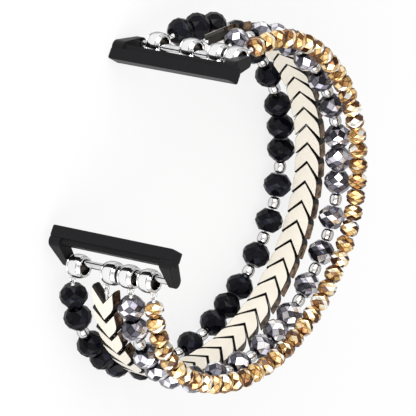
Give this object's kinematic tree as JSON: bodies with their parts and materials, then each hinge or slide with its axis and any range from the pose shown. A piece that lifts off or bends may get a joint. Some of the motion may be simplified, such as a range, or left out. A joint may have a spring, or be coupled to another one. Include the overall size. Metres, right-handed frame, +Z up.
{
  "type": "watch band",
  "caption": "Elastic watch band of faceted bead strands and a chevron link strand, hooked by barrel bails onto spring bars in slide-in end adapters.",
  "frame": {"origin": "under the middle of the band's outline, at the level of the surface that it lies on", "axes": "+Z up from the surface the band lies on and roughly along the spring bars, +X from the upper bar to the lower bar, +Y from the adapters to the back of the loop"},
  "size_m": [0.0792, 0.0684, 0.0336],
  "materials": {
    "black_glass": "glossy faceted black glass",
    "gunmetal_glass": "faceted glass with a grey mirror coat",
    "gold_glass": "faceted glass with an amber metallic coat",
    "pale_gold": "polished pale gold plate",
    "bright_silver": "bright polished",
    "matte_black": "matte black coat",
    "steel": "turned steel",
    "elastic": "clear elastic cord"
  },
  "bodies": {
    "chevron_strand_and_bars": {"chevron_links": "pale_gold", "chevron_cord": "elastic", "black_lower_bail": "bright_silver", "black_upper_bail": "bright_silver", "chevron_lower_bail": "bright_silver", "chevron_upper_bail": "bright_silver", "gunmetal_lower_bail": "bright_silver", "gunmetal_upper_bail": "bright_silver", "gold_lower_bail": "bright_silver", "gold_upper_bail": "bright_silver", "lower_bar_tube": "steel", "upper_bar_tube": "steel", "lower_bar_top_spring": "steel", "lower_bar_bottom_spring": "steel", "upper_bar_top_spring": "steel", "upper_bar_bottom_spring": "steel"},
    "black_strand": {"black_beads": "black_glass", "black_strand_spacers": "bright_silver", "black_cord": "elastic"},
    "gunmetal_strand": {"gunmetal_beads": "gunmetal_glass", "gunmetal_strand_spacers": "bright_silver", "gunmetal_cord": "elastic"},
    "gold_strand": {"gold_beads": "gold_glass", "gold_cord": "elastic"},
    "lower_adapter": {"lower_adapter": "matte_black"},
    "lower_lock_nub": {"lower_lock_nub": "steel"},
    "lower_bar_top_pin": {"lower_bar_top_pin": "steel"},
    "lower_bar_bottom_pin": {"lower_bar_bottom_pin": "steel"},
    "upper_adapter": {"upper_adapter": "matte_black"},
    "upper_lock_nub": {"upper_lock_nub": "steel"},
    "upper_bar_top_pin": {"upper_bar_top_pin": "steel"},
    "upper_bar_bottom_pin": {"upper_bar_bottom_pin": "steel"}
  },
  "joints": [
    {"name": "black_strand_swing", "type": "hinge", "parent": "chevron_strand_and_bars", "child": "black_strand", "pos_m": [-0.02839, -0.02498, 0.00605], "axis": [0.9996, -0.0243, -0.0161], "range_deg": [-15, 0]},
    {"name": "gunmetal_strand_swing", "type": "hinge", "parent": "chevron_strand_and_bars", "child": "gunmetal_strand", "pos_m": [-0.02915, -0.02401, 0.02087], "axis": [0.9997, -0.0239, -0.0091], "range_deg": [0, 12]},
    {"name": "gold_strand_swing", "type": "hinge", "parent": "chevron_strand_and_bars", "child": "gold_strand", "pos_m": [-0.02944, -0.02365, 0.02634], "axis": [0.9997, -0.0233, -0.0007], "range_deg": [0, 24]},
    {"name": "lower_adapter_turn", "type": "hinge", "parent": "chevron_strand_and_bars", "child": "lower_adapter", "pos_m": [0.02112, -0.02738, 0.01769], "axis": [-0.0505, 0.0654, 0.9966], "range_deg": [-100, 100]},
    {"name": "lower_lock_nub_press", "type": "slide", "parent": "lower_adapter", "child": "lower_lock_nub", "axis": [-0.0033, -0.9979, 0.0653], "range_m": [0, 0.0004], "stiffness_N_per_m": 600, "springref_m": -0.0005},
    {"name": "lower_bar_top_pin_press", "type": "slide", "parent": "chevron_strand_and_bars", "child": "lower_bar_top_pin", "axis": [0.0505, -0.0654, -0.9966], "range_m": [0, 0.00125], "stiffness_N_per_m": 800, "springref_m": -0.0005, "deforming": ["lower_bar_top_spring"]},
    {"name": "lower_bar_bottom_pin_press", "type": "slide", "parent": "chevron_strand_and_bars", "child": "lower_bar_bottom_pin", "axis": [-0.0505, 0.0654, 0.9966], "range_m": [0, 0.00125], "stiffness_N_per_m": 800, "springref_m": -0.0005, "deforming": ["lower_bar_bottom_spring"]},
    {"name": "upper_adapter_turn", "type": "hinge", "parent": "chevron_strand_and_bars", "child": "upper_adapter", "pos_m": [-0.02592, -0.02738, 0.01531], "axis": [-0.0505, 0.0654, 0.9966], "range_deg": [-100, 100]},
    {"name": "upper_lock_nub_press", "type": "slide", "parent": "upper_adapter", "child": "upper_lock_nub", "axis": [-0.0033, -0.9979, 0.0653], "range_m": [0, 0.0004], "stiffness_N_per_m": 600, "springref_m": -0.0005},
    {"name": "upper_bar_top_pin_press", "type": "slide", "parent": "chevron_strand_and_bars", "child": "upper_bar_top_pin", "axis": [0.0505, -0.0654, -0.9966], "range_m": [0, 0.00125], "stiffness_N_per_m": 800, "springref_m": -0.0005, "deforming": ["upper_bar_top_spring"]},
    {"name": "upper_bar_bottom_pin_press", "type": "slide", "parent": "chevron_strand_and_bars", "child": "upper_bar_bottom_pin", "axis": [-0.0505, 0.0654, 0.9966], "range_m": [0, 0.00125], "stiffness_N_per_m": 800, "springref_m": -0.0005, "deforming": ["upper_bar_bottom_spring"]}
  ],
  "couplings": [
    {"joint": "gunmetal_strand_swing", "follows": "gold_strand_swing", "ratio": 0.5}
  ]
}
